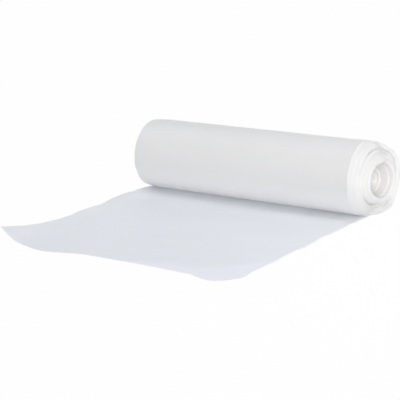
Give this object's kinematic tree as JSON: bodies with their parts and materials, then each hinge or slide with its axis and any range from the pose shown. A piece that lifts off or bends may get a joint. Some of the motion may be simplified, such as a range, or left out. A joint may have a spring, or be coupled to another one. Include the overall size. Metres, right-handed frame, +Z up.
{
  "type": "bin bag roll",
  "caption": "Coreless roll of white film bin bags lying on its side, with its loose end unrolled flat in front of it.",
  "frame": {"origin": "on the table, below the middle of the roll's axis", "axes": "+X along the roll's axis, +Y away from the loose end, +Z up"},
  "size_m": [0.2406, 0.2514, 0.0635],
  "materials": {
    "film": "white polyethylene film, slightly see-through, satin"
  },
  "bodies": {
    "root": {"bag_roll": "film"}
  },
  "joints": []
}
